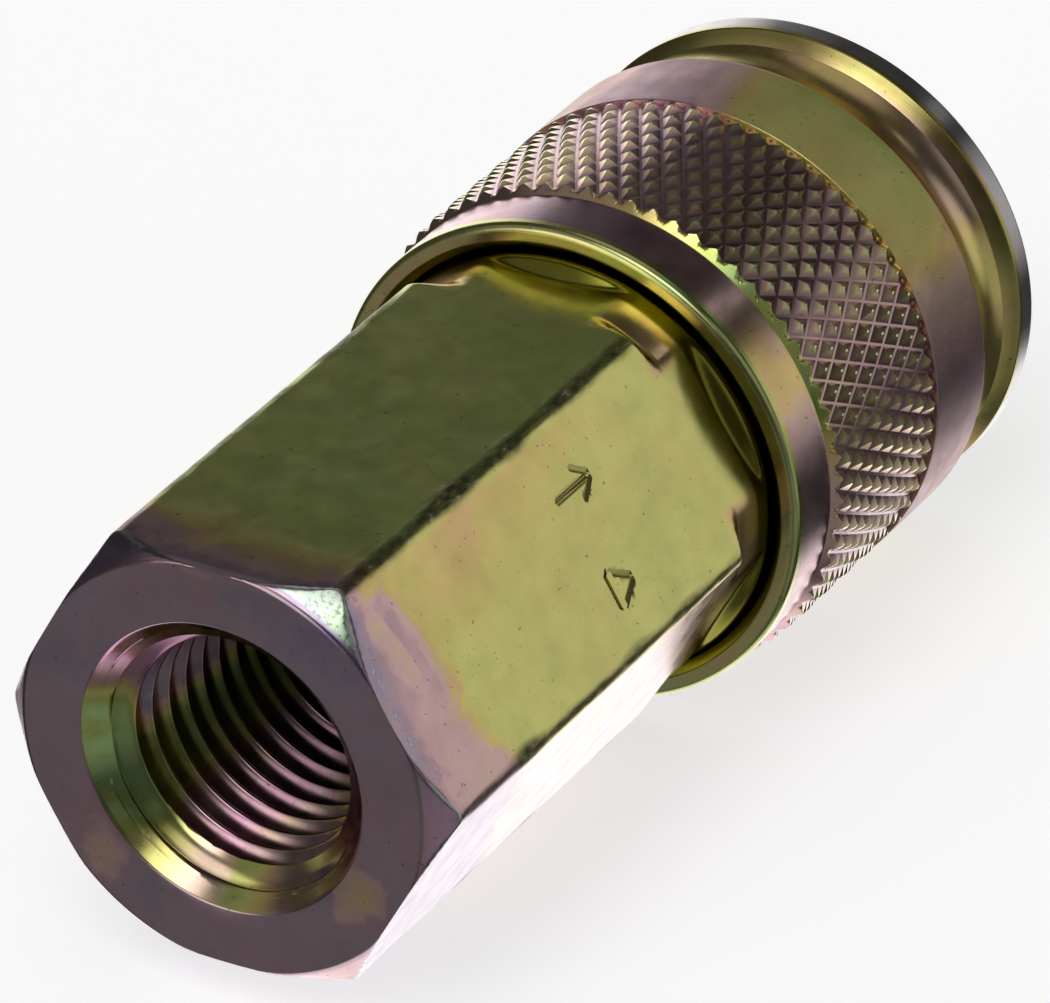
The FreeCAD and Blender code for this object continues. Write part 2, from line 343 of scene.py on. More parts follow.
def body_sections():
    """Stations along the body with the radius of the turned outline that limits the hexagon there."""
    chamfer_end = (1.85, R_REAR_FACE + 1.85)
    rear = softened([(0, R_REAR_FACE - 0.9), (0, R_REAR_FACE, 0.5), chamfer_end], steps=6)
    rear = [p for p in rear if -0.6 < p[1] - R_REAR_FACE < 0.6]
    x_values = [
        np.arange(rear[-1][0] + 0.07, 1.9, 0.07), np.arange(1.9, 26.9, 0.22), np.arange(26.9, 29.0, 0.07),
        np.arange(29.0, 31.7, 0.1), np.array([31.9, 32.6, 33.2]),
    ]
    sections = list(rear)
    for x in np.concatenate(x_values):
        step = smooth_max(R_CORNER + X_CORNER_END - x, R_COLLAR, 0.45)
        stock = min(R_REAR_FACE + x, R_CORNER + 0.4)
        sections.append((x, smooth_min(stock, step, 0.5)))
    sections.append((X_BODY_FRONT - 0.12, R_COLLAR))
    sections.append((X_BODY_FRONT, R_COLLAR - 0.12))
    return sections


def body_columns():
    """Angles round the body, close together at the six corners."""
    half = [0, 0.25, 0.5, 0.75, 1.0, 1.25, 1.5, 1.75, 2.0, 2.25, 2.5, 2.9, 3.6]
    half += list(np.linspace(4.8, 28.4, 11))
    sector = sorted([-a for a in half[1:]] + half) + [30.0]
    return np.radians([60 * k + a + 30 for k in range(6) for a in sector]) - math.pi / 6


def thread_phases():
    """Stations within one thread pitch, and how deep the groove is at each, from 0 to 1."""
    crest, root = 0.055, 0.44
    half = [0, 0.04, crest, 0.075, 0.14, 0.24, 0.34, 0.42, root, 0.465]
    phases = half + [0.5] + [1 - p for p in reversed(half[1:])]
    depths = [min(max((min(p, 1 - p) - crest) / (root - crest), 0), 1) for p in phases]
    rounding = {0.04: 0.012, crest: 0.02, root: 0.98, 0.465: 0.988}
    depths = [rounding.get(round(min(p, 1 - p), 3), d) for p, d in zip(phases, depths)]
    return phases, depths


def hexagon_rings(sheet, columns):
    """The hexagonal outside, with worn corners, from the rear face to the front end."""
    stock, off_corner, tangent_angle = hex_radius(columns)
    near_corner = off_corner / tangent_angle
    rings = []
    for x, envelope in body_sections():
        run_out = R_FLAT + (x - X_FLAT_END) * RUN_OUT_SLOPE
        held = smooth_max(stock, np.full_like(stock, min(run_out, R_COLLAR + 0.2)), 0.08)
        r = smooth_min(held, np.full_like(held, envelope), 0.12 if x > 0.4 else 0.02)
        fade = min(max((x - 0.9) / 0.8, 0), 1) * min(max((28.0 - x) / 1.6, 0), 1)
        spots = [Vector((x, rr * math.cos(a), rr * math.sin(a))) for rr, a in zip(r, columns)]
        chip = np.array([noise.noise(p * 0.8) for p in spots])
        fine = np.array([noise.noise(p * 3.1) for p in spots])
        drift = np.array([noise.noise(p * 0.33) for p in spots])
        on_corner = np.clip(1.25 + 0.9 * drift - near_corner, 0, 1)
        rough = fade * on_corner * (0.05 * np.maximum(chip, -0.2) + 0.03 * np.maximum(fine, 0))
        rings.append(sheet.ring(x, r - rough, columns, on_corner * fade * (0.85 + 0.3 * drift)))
    for a, b in zip(rings, rings[1:]):
        sheet.join(a, b)
    return rings


def countersink():
    """Outline of the countersink, with the fine ridges that its tool leaves."""
    x, tool_step, ridge = 0.08, 0.035, -0.008
    outline = [(0, R_THREAD_MOUTH + 0.06), (0.03, R_THREAD_MOUTH), (x, R_THREAD_MOUTH - 0.06)]
    while x < X_THREAD_START - 0.03:
        x += tool_step
        ridge = -ridge
        outline.append((x, R_THREAD_MOUTH + 0.02 - x + ridge))
    return outline


def thread_rows(sheet, round_columns, x_start, r_start):
    """The internal thread. Its rows climb by one pitch per turn, so they follow the helix exactly."""
    phases, depths = thread_phases()
    turns = int((X_THREAD_END - x_start) / THREAD_PITCH) + 3
    climb = np.append(round_columns, TURN) / TURN * THREAD_PITCH
    closed = np.append(round_columns, TURN)
    previous = None
    for t in range(-2, turns):
        for phase, depth in zip(phases, depths):
            x_row = x_start + (t + phase) * THREAD_PITCH + climb
            x_held = np.clip(x_row, x_start, X_THREAD_END)
            crest = R_THREAD_CREST - THREAD_TAPER * x_held
            fade = np.clip((X_THREAD_END - 0.4 - x_held) / 1.6, 0, 1)
            cone = R_THREAD_MOUTH + 0.02 - x_held
            r = np.maximum(crest + THREAD_DEPTH * depth * fade, cone)
            r = np.where(x_row <= x_start, r_start, r)
            row = sheet.ring(x_held, r, closed)
            if previous:
                for k in range(len(row) - 1):
                    sheet.faces.append((previous[k], previous[k + 1], row[k + 1], row[k]))
            previous = row


def machined_body():
    """Hex body as one closed skin: outside, countersink, thread, passage and counterbore."""
    sheet = Sheet()
    columns = body_columns()
    outer = hexagon_rings(sheet, columns)

    round_columns = np.linspace(0, TURN, 168, endpoint=False)
    mouth = countersink()
    mouth_rings = [sheet.ring(x, r, round_columns) for x, r in mouth]
    for a, b in zip(mouth_rings, mouth_rings[1:]):
        sheet.join(b, a)
    sheet.stitch(outer[0], columns - columns[0], mouth_rings[0], round_columns)
    thread_rows(sheet, round_columns, *mouth[-1])

    r_end = R_THREAD_CREST - THREAD_TAPER * X_THREAD_END
    inside = [
        (X_THREAD_END, r_end), (X_THREAD_END + r_end - R_PASSAGE, R_PASSAGE), (X_COUNTERBORE, R_PASSAGE),
        (X_COUNTERBORE, R_COUNTERBORE), (X_BODY_FRONT, R_COUNTERBORE),
    ]
    inner = [sheet.ring(x, r, round_columns) for x, r in inside]
    for a, b in zip(inner, inner[1:]):
        sheet.join(a, b)
    sheet.stitch(inner[-1], round_columns, outer[-1], columns - columns[0])
    return sheet.object("body_machined", 28)


def chisel_cut(start, end):
    """Cutter for a V-shaped stroke between two (along, across) points on the marked flat."""
    normal = Vector((0, -math.cos(math.pi / 6), math.sin(math.pi / 6)))
    across = Vector((0, math.sin(math.pi / 6), math.cos(math.pi / 6)))
    along = Vector((1, 0, 0))
    a, b = Vector(start), Vector(end)
    run = (b - a).normalized()
    side = Vector((-run.y, run.x)) * MARK_WIDTH / 2
    nib = run * MARK_WIDTH * 0.35
    outline = [a - nib, a + side, b + side, b + nib, b - side, a - side]
    bm = bmesh.new()

    def at(p, height):
        v = along * (X_MARK + p.x) + across * p.y + normal * (R_FLAT + height)
        return bm.verts.new(v * MM)

    top = [at(p + (p - (a + b) / 2).normalized() * 0.06, 0.1) for p in outline]
    rim = [at(p, 0) for p in outline]
    low = [at(a, -MARK_DEPTH), at(b, -MARK_DEPTH)]
    sides = [(top[(k + 1) % 6], top[k], rim[k], rim[(k + 1) % 6]) for k in range(6)]
    bottom = [
        (rim[0], low[0], rim[1]), (rim[1], low[0], low[1], rim[2]), (rim[2], low[1], rim[3]),
        (rim[3], low[1], rim[4]), (rim[4], low[1], low[0], rim[5]), (rim[5], low[0], rim[0]),
    ]
    for face in [top, *sides, *bottom]:
        bm.faces.new(face)
    bmesh.ops.recalc_face_normals(bm, faces=bm.faces)
    mesh = bpy.data.meshes.new("stroke")
    bm.to_mesh(mesh)
    bm.free()
    cutter = bpy.data.objects.new("stroke", mesh)
    bpy.context.scene.collection.objects.link(cutter)
    return cutter


def flow_marks(body):
    """Small stamped marks on one flat: an arrow towards the mouth and a small triangle."""
    arrow = [((-1.6, 2.3), (1.3, 2.3)), ((0.35, 3.15), (1.4, 2.42)), ((0.35, 1.45), (1.4, 2.18))]
    triangle = [((-0.8, -2.0), (-0.8, -3.6)), ((-0.62, -1.9), (0.75, -2.7)), ((-0.62, -3.7), (0.75, -2.9))]
    return cut(body, [chisel_cut(*stroke) for stroke in arrow + triangle])


# ---- sleeve ---------------------------------------------------------------------------------------
def knurl_mesh():
    """Diamond knurl: four-sided points between flat-floored grooves on two crossing helices.

    It is cut square at the front end and by a turned bevel at the rear end."""
    random.seed(11)
    pitch = TURN * R_GRIP / KNURL_TEETH
    lead = pitch / math.tan(KNURL_ANGLE)
    rows = range(int(X_KNURL_BEVEL / lead) * 2 - 2, int(X_KNURL_FRONT / lead) * 2 + 4)
    r_root = R_GRIP - KNURL_DEPTH
    # each level: how far out from the point towards the groove's centre line, and how high
    levels = ((0.87, 0.0), (0.82, 0.06), (0.22, 0.86), (0.12, 0.96))
    bm = bmesh.new()

    def at(x, tooth, r):
        a = tooth * TURN / KNURL_TEETH
        return bm.verts.new((x, r * math.cos(a), r * math.sin(a)))

    corners = {}
    for row in rows:
        for k in range(KNURL_TEETH):
            corners[row, k] = at(row * lead / 2, k + (row % 2) / 2, r_root)
    for row in list(rows)[1:-1]:
        shift = row % 2
        for k in range(KNURL_TEETH):
            rim = [
                corners[row - 1, (k + shift) % KNURL_TEETH],
                corners[row, (k + 1) % KNURL_TEETH],
                corners[row + 1, (k + shift) % KNURL_TEETH],
                corners[row, k],
            ]
            tooth = k + shift / 2 + 0.5
            x_mid = row * lead / 2
            lean = random.uniform(-0.04, 0.04)
            height = KNURL_DEPTH * random.uniform(0.92, 1.0)
            outer = rim
            for reach, rise in levels:
                r = r_root + rise * height
                inner = [
                    at(x_mid + dx * reach * lead / 2 + lean * rise, tooth + dt * reach / 2, r)
                    for dx, dt in ((-1, 0), (0, 1), (1, 0), (0, -1))
                ]
                for s in range(4):
                    m = (s + 1) % 4
                    bm.faces.new((outer[s], outer[m], inner[m], inner[s]))
                outer = inner
            bm.faces.new(outer)
    for station, side in ((X_KNURL_BEVEL, -1), (X_KNURL_FRONT, 1)):
        bmesh.ops.bisect_plane(bm, geom=bm.verts[:] + bm.edges[:] + bm.faces[:], plane_co=(station, 0, 0),
                               plane_no=(side, 0, 0), clear_outer=True, dist=1e-6)
    bevel_the_rear(bm)
    bm.verts.index_update()
    return bm


def bevel_the_rear(bm):
    """Divides the knurl finely near its rear end and turns it down to the bevel's cone."""
    def near_faces():
        return [f for f in bm.faces if min(v.co.x for v in f.verts) < X_KNURL_BEVEL + BEVEL_LENGTH]

    bmesh.ops.triangulate(bm, faces=near_faces())
    near_edges = {e for f in near_faces() for e in f.edges}
    long_edges = [e for e in near_edges if e.calc_length() > 0.1]
    bmesh.ops.subdivide_edges(bm, edges=long_edges, cuts=3, use_grid_fill=True)
    for v in bm.verts:
        r = math.hypot(v.co.y, v.co.z)
        limit = R_REAR_BAND + (v.co.x - X_KNURL_BEVEL) * BEVEL_SLOPE
        if r > limit:
            v.co.y *= limit / r
            v.co.z *= limit / r


def end_ring(bm, station):
    """Vertices on the knurl's open edge at a station, in order round the axis, and their angles."""
    rim = [v for v in bm.verts if v.is_boundary and abs(v.co.x - station) < 1e-4]
    rim.sort(key=lambda v: math.atan2(v.co.z, v.co.y) % TURN)
    return [v.index for v in rim], np.array([math.atan2(v.co.z, v.co.y) % TURN for v in rim])


def knurled_sleeve():
    """Release sleeve: the knurl, closed by a turned skin that runs over the front and through the bore."""
    sheet = Sheet()
    bm = knurl_mesh()
    sheet.points = [tuple(v.co) for v in bm.verts]
    sheet.wear = [0.0] * len(sheet.points)
    sheet.faces = [tuple(v.index for v in f.verts) for f in bm.faces]
    front_ring, angles = end_ring(bm, X_KNURL_FRONT)
    rear_ring, rear_angles = end_ring(bm, X_KNURL_BEVEL)
    bm.free()

    hollow_mid = (X_GRIP_FRONT + X_FLANGE_ROOT) / 2
    hollow = arc_through((X_GRIP_FRONT, R_GRIP), (hollow_mid, R_FINGER_GROOVE),
                         (X_FLANGE_ROOT, R_FLANGE_ROOT), 18)
    outline = [(X_KNURL_FRONT, R_GRIP - 0.03), (X_KNURL_FRONT + 0.03, R_GRIP)]
    tail = [(X_GRIP_FRONT, R_GRIP, 0.9)] + hollow[1:] + [
        (X_FLANGE_REAR, R_FLANGE, 0.12), (X_SLEEVE_FRONT, R_FLANGE, 0.2), (X_SLEEVE_FRONT, R_RING_SEAT),
        (X_RING_SEAT, R_RING_SEAT), (X_RING_SEAT, R_RUNNING_BORE), (X_RELEASE_END, R_RUNNING_BORE),
        (X_RELEASE_END, R_RELEASE), (X_RELEASE_FRONT, R_RELEASE), (X_RELEASE_REAR, R_RUNNING_BORE),
        (X_SHOULDER, R_RUNNING_BORE), (X_SHOULDER, R_SLEEVE_BORE),
        (X_SLEEVE_REAR + RIM_CHAMFER, R_SLEEVE_BORE), (X_SLEEVE_REAR, R_SLEEVE_BORE + RIM_CHAMFER, 0.12),
        (X_SLEEVE_REAR, R_REAR_BAND, 0.36), (X_KNURL_BEVEL, R_REAR_BAND),
    ]
    soft = softened(outline + tail, 0.07)
    x_grip, x_band = outline[-1][0], X_KNURL_BEVEL - 0.5
    first = next(k for k, (x, r) in enumerate(soft) if abs(x - x_grip) < 0.01 and r > R_GRIP - 0.01)
    last = max(k for k, (x, r) in enumerate(soft) if x < x_band and abs(r - R_REAR_BAND) < 0.02)
    profile = [outline[0]] + soft[first:last + 1] + [(X_KNURL_BEVEL - 0.04, R_REAR_BAND)]
    round_columns = np.linspace(0, TURN, 288, endpoint=False) + angles[0]
    band_edge = sheet.ring(*profile[0], angles)
    rings = [sheet.ring(x, r, round_columns) for x, r in profile[1:]]
    sheet.join(front_ring, band_edge)
    sheet.stitch(band_edge, angles, rings[0], round_columns)
    for a, b in zip(rings, rings[1:]):
        sheet.join(a, b)
    sheet.stitch(rings[-1], round_columns, rear_ring, rear_angles)
    return sheet.object("sleeve_knurled", 24)


def arc_through(start, middle, end, steps):
    """Points on the circle through three (x, r) points."""
    (ax, ay), (bx, by), (cx, cy) = start, middle, end
    d = 2 * (ax * (by - cy) + bx * (cy - ay) + cx * (ay - by))
    ux = ((ax**2 + ay**2) * (by - cy) + (bx**2 + by**2) * (cy - ay) + (cx**2 + cy**2) * (ay - by)) / d
    uy = ((ax**2 + ay**2) * (cx - bx) + (bx**2 + by**2) * (ax - cx) + (cx**2 + cy**2) * (bx - ax)) / d
    radius = math.hypot(ax - ux, ay - uy)
    first = math.atan2(ay - uy, ax - ux)
    sweep = (math.atan2(cy - uy, cx - ux) - first + math.pi) % TURN - math.pi
    angles = [first + sweep * s / steps for s in range(steps + 1)]
    return [(ux + radius * math.cos(a), uy + radius * math.sin(a)) for a in angles]


# ---- inner pieces ---------------------------------------------------------------------------------
def linked(name, points, faces, smooth_angle=32):
    """Object from points in millimetres."""
    mesh = bpy.data.meshes.new(name)
    mesh.from_pydata([(x * MM, y * MM, z * MM) for x, y, z in points], [], faces)
    return finished(name, mesh, smooth_angle)


def tube_faces(steps, around):
    """Quads along a tube of rings that all have the same count, with a flat cap at each end."""
    faces = []
    for k in range(steps):
        near, far = k * around, (k + 1) * around
        for s in range(around):
            m = (s + 1) % around
            faces.append((near + s, near + m, far + m, far + s))
    faces.append(tuple(range(around)))
    faces.append(tuple(range(steps * around, (steps + 1) * around)))
    return faces


def ball_hole(turn, segments=56):
    """Cutter for one radial ball hole, narrowed at its inner end."""
    profile = [
        (R_PLUG_BORE - 1.0, R_BALL_SEAT), (R_PLUG_BORE + 0.05, R_BALL_SEAT),
        (R_PLUG_BORE + SEAT_DEPTH, R_BALL_HOLE), (R_BARREL - 0.12, R_BALL_HOLE),
        (R_BARREL + 0.06, R_BALL_HOLE + 0.18), (R_BARREL + 1.0, R_BALL_HOLE + 0.18),
    ]
    points = []
    for height, r in profile:
        for s in range(segments):
            a = s / segments * TURN
            side = r * math.sin(a)
            y = side * math.cos(turn) - height * math.sin(turn)
            z = side * math.sin(turn) + height * math.cos(turn)
            points.append((X_BALLS + r * math.cos(a), y, z))
    return linked("hole", points, tube_faces(len(profile) - 1, segments))


def barrel():
    """Front tube with its valve chamber, seal gland, ball holes and ring groove."""
    r_spigot = R_COUNTERBORE - 0.02
    r_groove = R_RETAINER - 0.72
    tube = lathe("barrel_turned", [
        (X_BARREL_REAR, R_CHAMBER), (X_CLIP, R_CHAMBER), (X_CLIP, R_CHAMBER + 0.5),
        (X_CLIP + CLIP_GROOVE, R_CHAMBER + 0.5), (X_CLIP + CLIP_GROOVE, R_CHAMBER), (X_SEAT, R_CHAMBER),
        (X_SEAT, R_SEAT_BORE), (X_GLAND, R_SEAT_BORE), (X_GLAND, R_GLAND), (X_GLAND_FRONT, R_GLAND),
        (X_GLAND_FRONT, R_LIP), (X_PLUG_BORE, R_LIP), (X_PLUG_BORE, R_PLUG_BORE), (X_LEAD_IN, R_PLUG_BORE),
        (X_LEAD_IN, R_LEAD_IN), (X_MOUTH_CHAMFER, R_LEAD_IN), (X_BARREL_FRONT, R_MOUTH),
        (X_BARREL_FRONT, R_BARREL - 0.3), (X_BARREL_FRONT - 0.3, R_BARREL), (X_RETAINER + 0.7, R_BARREL),
        (X_RETAINER + 0.7, r_groove), (X_RETAINER - 0.7, r_groove), (X_RETAINER - 0.7, R_BARREL),
        (X_BODY_FRONT, R_BARREL), (X_BODY_FRONT, r_spigot), (X_BARREL_REAR, r_spigot),
    ], 216, 0.06)
    return cut(tube, [ball_hole(k * TURN / BALLS) for k in range(BALLS)])


def retaining_wire():
    """Split ring of round wire with rounded ends, its gap at the top."""
    steps, around = 200, 20
    points = []
    for k in range(steps + 1):
        a = RETAINER_GAP / 2 + (TURN - RETAINER_GAP) * k / steps
        from_end = min(k, steps - k) / steps * TURN * R_RETAINER
        r_wire = R_RETAINER_WIRE * math.sqrt(1 - max(1 - from_end / 0.45, 0) ** 2 * 0.5)
        for s in range(around):
            b = s / around * TURN
            r = R_RETAINER + r_wire * math.cos(b)
            points.append((X_RETAINER + r_wire * math.sin(b), -r * math.sin(a), r * math.cos(a)))
    return linked("retaining_wire", points, tube_faces(steps, around), 50)


def plug_o_ring():
    """O-ring with the fine mould line that runs round its inside and outside."""
    outline = []
    for s in range(48):
        a = s / 48 * TURN
        r_wire = R_SEAL_WIRE - 0.02 + (0.02 if s in (0, 24) else 0)
        outline.append((X_SEAL + r_wire * math.sin(a), R_SEAL + r_wire * math.cos(a)))
    return lathe("plug_o_ring", outline, 160)


def soft_ring(name, node, r_inner, edge):
    """Soft-edged ring with the length and outer radius of a CAD node."""
    low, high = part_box(node)
    rear, front, r_outer = low[0] / MM, high[0] / MM, high[1] / MM
    return lathe(name, [(rear, r_inner), (front, r_inner), (front, r_outer), (rear, r_outer)], 160, edge)


def nose_slot(turn):
    """Cutter for the driver slot across the poppet's nose."""
    points = []
    for x in (X_NOSE - 2.4, X_NOSE + 0.3):
        for along, across in ((-1, -1), (1, -1), (1, 1), (-1, 1)):
            y, z = along * (R_NOSE + 0.5), across * NOSE_SLOT / 2
            turned_y = y * math.cos(turn) - z * math.sin(turn)
            turned_z = y * math.sin(turn) + z * math.cos(turn)
            points.append((x, turned_y, turned_z))
    faces = [(3, 2, 1, 0), (4, 5, 6, 7)] + [(k, (k + 1) % 4, (k + 1) % 4 + 4, k + 4) for k in range(4)]
    return linked("slot", points, faces)


def poppet():
    """Turned valve poppet: guide stem, head and hollow cross-slotted nose."""
    r_hollow = R_NOSE - 1.2
    turned = lathe("poppet_turned", [
        (X_STEM_REAR, 0), (X_STEM_REAR, R_STEM, 0.3), (X_POPPET, R_STEM, 0.5), (X_POPPET, R_POPPET, 0.25),
        (X_POPPET_FACE, R_POPPET, 0.15), (X_POPPET_FACE, R_NOSE, 0.1), (X_NOSE, R_NOSE, 0.35),
        (X_NOSE, r_hollow, 0.2), (X_SEAT + 0.5, r_hollow, 0.4), (X_SEAT + 0.5, 0),
    ], 128)
    return cut(turned, [nose_slot(0), nose_slot(TURN / 4)])


def coil(name, x_start, x_end, coils, r_coil, wire, closed_turns=0.9):
    """Helical spring with closed, squared ends, as a tube mesh."""
    r_wire = wire / 2
    first, last = x_start + r_wire, x_end - r_wire
    total = coils + 2 * closed_turns
    per_turn, around = 56, 14
    end_climb = wire * 0.98
    points = []
    steps = int(total * per_turn)
    for k in range(steps + 1):
        t = k / steps * total
        rise = min(max((t - closed_turns) / coils, 0), 1)
        x = first + end_climb * min(t / closed_turns, 1) * closed_turns
        x += (last - first - 2 * end_climb * closed_turns) * rise
        x += end_climb * max((t - closed_turns - coils) / closed_turns, 0) * closed_turns
        a = t * TURN
        for s in range(around):
            b = s / around * TURN
            r = r_coil + r_wire * math.cos(b)
            points.append((x + r_wire * math.sin(b), r * math.cos(a), r * math.sin(a)))
    return linked(name, points, tube_faces(steps, around), 40)


# ---- materials ------------------------------------------------------------------------------------
def new_node(tree, kind, inputs, **settings):
    """Shader node with some inputs filled, each with a plain value or with another node's output."""
    node = tree.nodes.new("ShaderNode" + kind)
    for name, value in settings.items():
        setattr(node, name, value)
    for key, value in inputs.items():
        if isinstance(value, bpy.types.NodeSocket):
            tree.links.new(value, node.inputs[key])
        else:
            node.inputs[key].default_value = value
    return node


class Look:
    """Small helper for building a procedural material on a Principled shader."""

    def __init__(self, name, metallic=1.0, roughness=0.3):
        self.material = bpy.data.materials.new(name)
        self.material.use_nodes = True
        self.tree = self.material.node_tree
        self.shader = self.tree.nodes["Principled BSDF"]
        self.shader.inputs["Metallic"].default_value = metallic
        self.shader.inputs["Roughness"].default_value = roughness
        self.place = self.node("TexCoord", {}).outputs["Object"]

    def node(self, kind, inputs, **settings):
        return new_node(self.tree, kind, inputs, **settings)

    def drive(self, name, output):
        """Puts a node's output on one input of the shader."""
        self.tree.links.new(output, self.shader.inputs[name])

    def axes(self):
        return self.node("SeparateXYZ", {"Vector": self.place}).outputs

    def attribute(self, name):
        return self.node("Attribute", {}, attribute_name=name).outputs["Fac"]

    def noise(self, size, detail=3.0, stretch=(1, 1, 1), distortion=0.0):
        """Noise whose features are about size millimetres across."""
        scale = tuple(s / (size * MM) for s in stretch)
        spread = self.node("Mapping", {"Scale": scale, "Vector": self.place}).outputs["Vector"]
        settings = {"Scale": 1.0, "Detail": detail, "Roughness": 0.5, "Distortion": distortion}
        return self.node("TexNoise", {**settings, "Vector": spread}).outputs["Fac"]

    def wander(self, amount, size, detail, distortion=0.0):
        """Noise that mostly stays between -amount and amount."""
        return self.remap(self.noise(size, detail, distortion=distortion), 0.3, 0.7, -amount, amount)

    def turned_lines(self, size):
        """Fine lines that run exactly round the axis, as a lathe tool leaves them."""
        along, out = (self.product(v, 1 / (size * MM)) for v in (self.axes()[0], self.radius()))
        place = self.node("CombineXYZ", {0: along, 1: out}).outputs[0]
        settings = {"Scale": 1.0, "Detail": 2.0, "Vector": place}
        return self.node("TexNoise", settings, noise_dimensions="2D").outputs["Fac"]

    def math(self, operation, a, b=0.0):
        return self.node("Math", {0: a, 1: b}, operation=operation).outputs["Value"]

    def total(self, *values):
        return functools.reduce(lambda a, b: self.math("ADD", a, b), values)

    def product(self, *values):
        return functools.reduce(lambda a, b: self.math("MULTIPLY", a, b), values)

    def length(self, a, b):
        """Length of the line whose two parts are a and b."""
        return self.math("SQRT", self.total(self.math("POWER", a, 2.0), self.math("POWER", b, 2.0)))

    def radius(self):
        """Distance from the coupler's axis, in metres."""
        return self.length(*self.axes()[1:])

    def turn(self):
        """Angle round the axis as a number: 0 at the bottom, 0.25 at +Y, 0.5 at the top, 0.75 at -Y."""
        x, y, z = self.axes()
        return self.remap(self.math("ARCTAN2", self.product(y, -1.0), z), -math.pi, math.pi, 0.0, 1.0)

    def remap(self, value, low, high, to_low, to_high):
        ends = {"From Min": low, "From Max": high, "To Min": to_low, "To Max": to_high}
        return self.node("MapRange", {**ends, "Value": value}).outputs["Result"]

    def ease(self, length, low, high, to_low=0.0, to_high=1.0):
        """Level that goes from one value to the other as a length goes from low to high millimetres."""
        return self.remap(length, low * MM, high * MM, to_low, to_high)

    def between(self, value, low, high, blur):
        """1 where value lies between low and high, all in millimetres, with soft ends."""
        rise = self.ease(value, low - blur, low + blur)
        fall = self.ease(value, high - blur, high + blur, 1.0, 0.0)
        return self.product(rise, fall)

    def blend(self, factor, a, b):
        """a where factor is 0, b where it is 1."""
        return self.total(a, self.product(factor, self.math("SUBTRACT", b, a)))

    def ramp(self, value, stops):
        node = self.node("ValToRGB", {"Fac": value})
        elements = node.color_ramp.elements
        while len(elements) < len(stops):
            elements.new(0.5)
        for element, (position, colour) in zip(elements, stops):
            element.position = position
            element.color = (*colour, 1)
        return node.outputs["Color"]

    def levels(self, value, stops):
        """Plain number that follows (position, level) stops as value goes from 0 to 1."""
        return self.ramp(value, [(position, (level,) * 3) for position, level in stops])

    def mix(self, factor, a, b):
        a, b = ((*v, 1) if isinstance(v, tuple) else v for v in (a, b))
        return self.node("Mix", {"Factor": factor, 6: a, 7: b}, data_type="RGBA").outputs[2]

    def scaled(self, colour, factor):
        return self.node("VectorMath", {0: colour, "Scale": factor}, operation="SCALE").outputs["Vector"]

    def bump(self, heights):
        """heights: (value, depth in millimetres) pairs, laid one over the other."""
        below = {}
        for value, depth in heights:
            node = self.node("Bump", {"Distance": depth * MM, "Strength": 1.0, "Height": value, **below})
            below = {"Normal": node.outputs["Normal"]}
        self.drive("Normal", below["Normal"])


# Colours that the chromate film takes as it gets thicker, from 0 to 1
FILM = [
    (0.00, (0.56, 0.78, 0.32)), (0.12, (0.50, 0.58, 0.16)), (0.24, (0.77, 0.74, 0.25)),
    (0.34, (0.84, 0.70, 0.24)), (0.42, (0.86, 0.60, 0.27)), (0.50, (0.80, 0.58, 0.42)),
    (0.60, (0.80, 0.53, 0.51)), (0.70, (0.60, 0.39, 0.43)), (0.80, (0.52, 0.41, 0.47)),
    (0.86, (0.45, 0.33, 0.50)), (0.92, (0.48, 0.50, 0.55)), (1.00, (0.62, 0.82, 0.55)),
]
GRIME = (0.060, 0.052, 0.046)
BARE = (0.74, 0.75, 0.70)
BLUSH = (0.86, 0.42, 0.64)
# Painted reflection: a deeper gold for the body's step face beside the sleeve, standing in for the gold
# collar that it mirrors
PAINTED_GOLD_REFLECTION = (0.52, 0.49, 0.07)


def plated(name, thickness, drift=0.14, patch=6.0, lines="turned", line_depth=0.003, gloss=(0.14, 0.24)):
    """Yellow chromate over machined steel: a drifting film colour, tool lines, pits and worn spots, plus the
    painted light, shade and reflection that the thickness function gives.
    """
    look = Look(name)
    layer = {"shade": 1.0, "matt": 0.0, "bare": 0.0, "blush": 0.0, "painted_reflection": 0.0, "metal": 1.0}
    layer.update(thickness(look))
    broad = look.wander(drift, patch, 2.0, 0.8)
    small = look.wander(drift * 0.4, patch / 7, 5.0)
    film = look.total(layer["film"], broad, small)
    colour = look.mix(layer["blush"], look.ramp(film, FILM), BLUSH)
    # Painted reflection: mixes towards a deeper gold where the thickness function asks for it
    colour = look.mix(layer["painted_reflection"], colour, PAINTED_GOLD_REFLECTION)
    stain = look.remap(look.noise(2.6, 6.0, distortion=0.2), 0.35, 0.75, 1.0, 0.86)
    # Painted light and shade from the thickness function's shade, which also holds the chamfer's dark specks
    colour = look.scaled(colour, look.product(stain, layer["shade"]))
    pits = look.remap(look.noise(0.30, 2.0), 0.69, 0.77, 0.0, 0.65)
    colour = look.mix(pits, colour, GRIME)
    wear = look.attribute("wear")
    chips = look.noise(0.30, 4.0, (0.5, 1, 1))
    dark_wear = look.product(wear, look.remap(chips, 0.40, 0.62, 0.88, 0.55))
    colour = look.mix(dark_wear, colour, GRIME)
    bright_wear = look.product(wear, look.remap(chips, 0.65, 0.69, 0.0, 0.8))
    look.drive("Base Color", look.mix(look.math("MAXIMUM", bright_wear, layer["bare"]), colour, BARE))
    tool = look.turned_lines(0.10) if lines == "turned" else look.noise(0.12, 3.0, (0.03, 1, 1))
    rough = look.total(look.remap(look.noise(1.4, 4.0), 0.3, 0.7, *gloss), layer["matt"])
    look.drive("Roughness", look.total(rough, look.product(wear, 0.25)))
    if layer["metal"] != 1.0:
        look.drive("Metallic", layer["metal"])
    grit = look.product(chips, wear)
    satin = look.product(look.noise(0.16, 3.0), layer["matt"])
    look.bump([(look.noise(0.45, 3.0), 0.0012), (tool, line_depth), (grit, 0.020), (satin, 0.05)])
    return look.material
